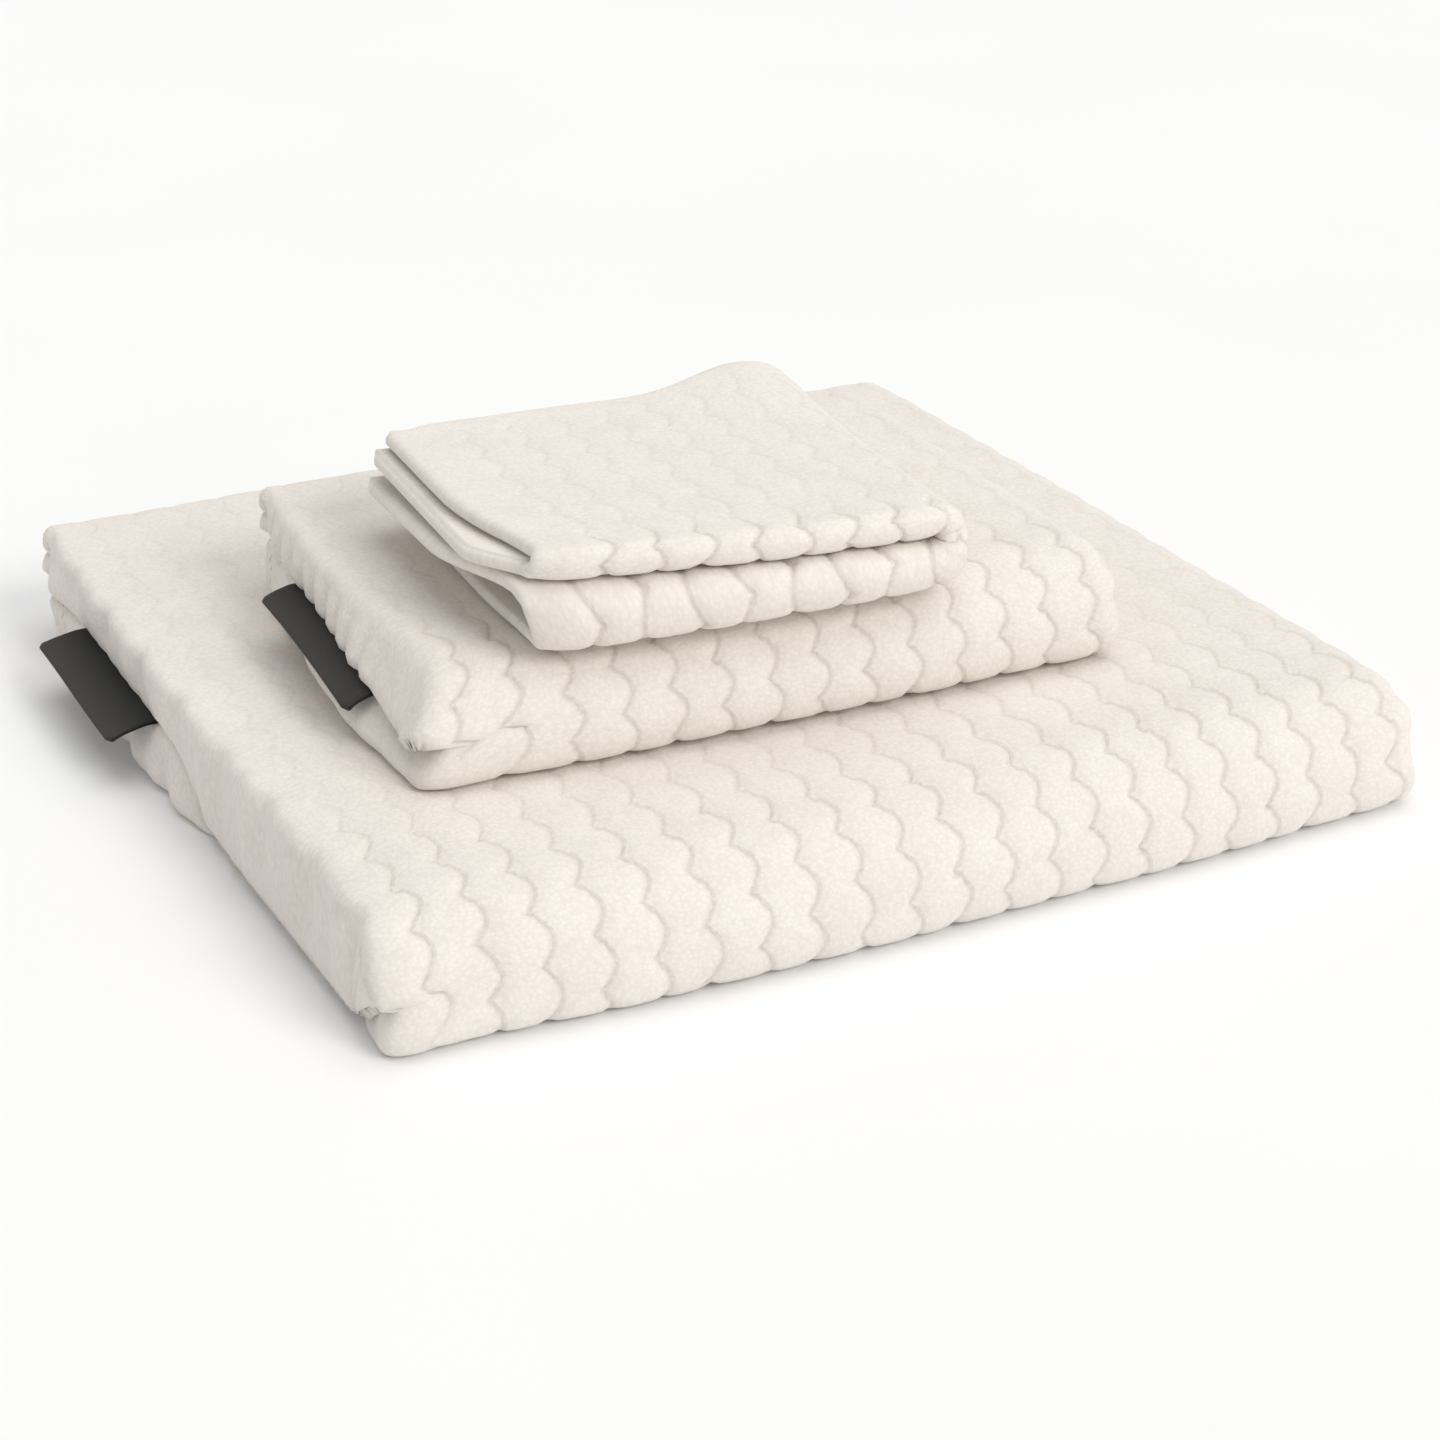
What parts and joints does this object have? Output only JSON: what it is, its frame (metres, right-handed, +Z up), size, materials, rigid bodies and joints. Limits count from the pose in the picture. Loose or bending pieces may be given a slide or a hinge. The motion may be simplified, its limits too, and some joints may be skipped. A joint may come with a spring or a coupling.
{
  "type": "bath towel set",
  "caption": "Folded bath towel, hand towel and washcloth of ribbed terry, stacked, with dark woven labels in the side hems.",
  "frame": {"origin": "centre of the bath towel's underside, on the surface it lies on", "axes": "+X to the right along the front folds, +Y to the back, +Z up"},
  "size_m": [0.4017, 0.384, 0.1177],
  "materials": {
    "terry": "cut cotton terry with scalloped ribs, matt with a soft sheen",
    "hem_thread": "cream cotton sewing thread",
    "label": "dense dark grey woven tape",
    "label_thread": "dark polyester sewing thread"
  },
  "bodies": {
    "bath_towel": {"bath_cloth": "terry", "bath_side_seam_outer": "hem_thread", "bath_side_seam_inner": "hem_thread", "bath_end_seam_outer": "hem_thread", "bath_end_seam_inner": "hem_thread", "bath_label_tail": "label", "bath_label_stitches": "label_thread"},
    "bath_label": {"bath_label_flap": "label"},
    "hand_towel": {"hand_cloth": "terry", "hand_side_seam_outer": "hem_thread", "hand_side_seam_inner": "hem_thread", "hand_end_seam_outer": "hem_thread", "hand_end_seam_inner": "hem_thread", "hand_label_tail": "label", "hand_label_stitches": "label_thread"},
    "hand_label": {"hand_label_flap": "label"},
    "washcloth": {"washcloth_lower_half": "terry", "washcloth_side_seam_lower": "hem_thread", "washcloth_end_seam_bottom": "hem_thread", "washcloth_end_seam_lower_middle": "hem_thread"},
    "washcloth_top": {"washcloth_upper_half": "terry", "washcloth_side_seam_upper": "hem_thread", "washcloth_end_seam_upper_middle": "hem_thread", "washcloth_end_seam_top": "hem_thread"}
  },
  "joints": [
    {"name": "hand_towel_lift", "type": "slide", "parent": "bath_towel", "child": "hand_towel", "axis": [0, 0, 1], "range_m": [0, 0.15]},
    {"name": "washcloth_lift", "type": "slide", "parent": "hand_towel", "child": "washcloth", "axis": [0, 0, 1], "range_m": [0, 0.15]},
    {"name": "washcloth_open", "type": "hinge", "parent": "washcloth", "child": "washcloth_top", "pos_m": [0.05735, -0.04579, 0.0976], "axis": [0.061, 0.9981, 0], "range_deg": [0, 165]},
    {"name": "bath_label_bend", "type": "hinge", "parent": "bath_towel", "child": "bath_label", "pos_m": [-0.19615, 0.076, 0.0215], "axis": [0, 1, 0], "range_deg": [-40, 60], "stiffness_Nm_per_rad": 0.002},
    {"name": "hand_label_bend", "type": "hinge", "parent": "hand_towel", "child": "hand_label", "pos_m": [-0.14115, -0.01191, 0.0623], "axis": [0.0314, 0.9995, 0], "range_deg": [-25, 15], "stiffness_Nm_per_rad": 0.002}
  ]
}
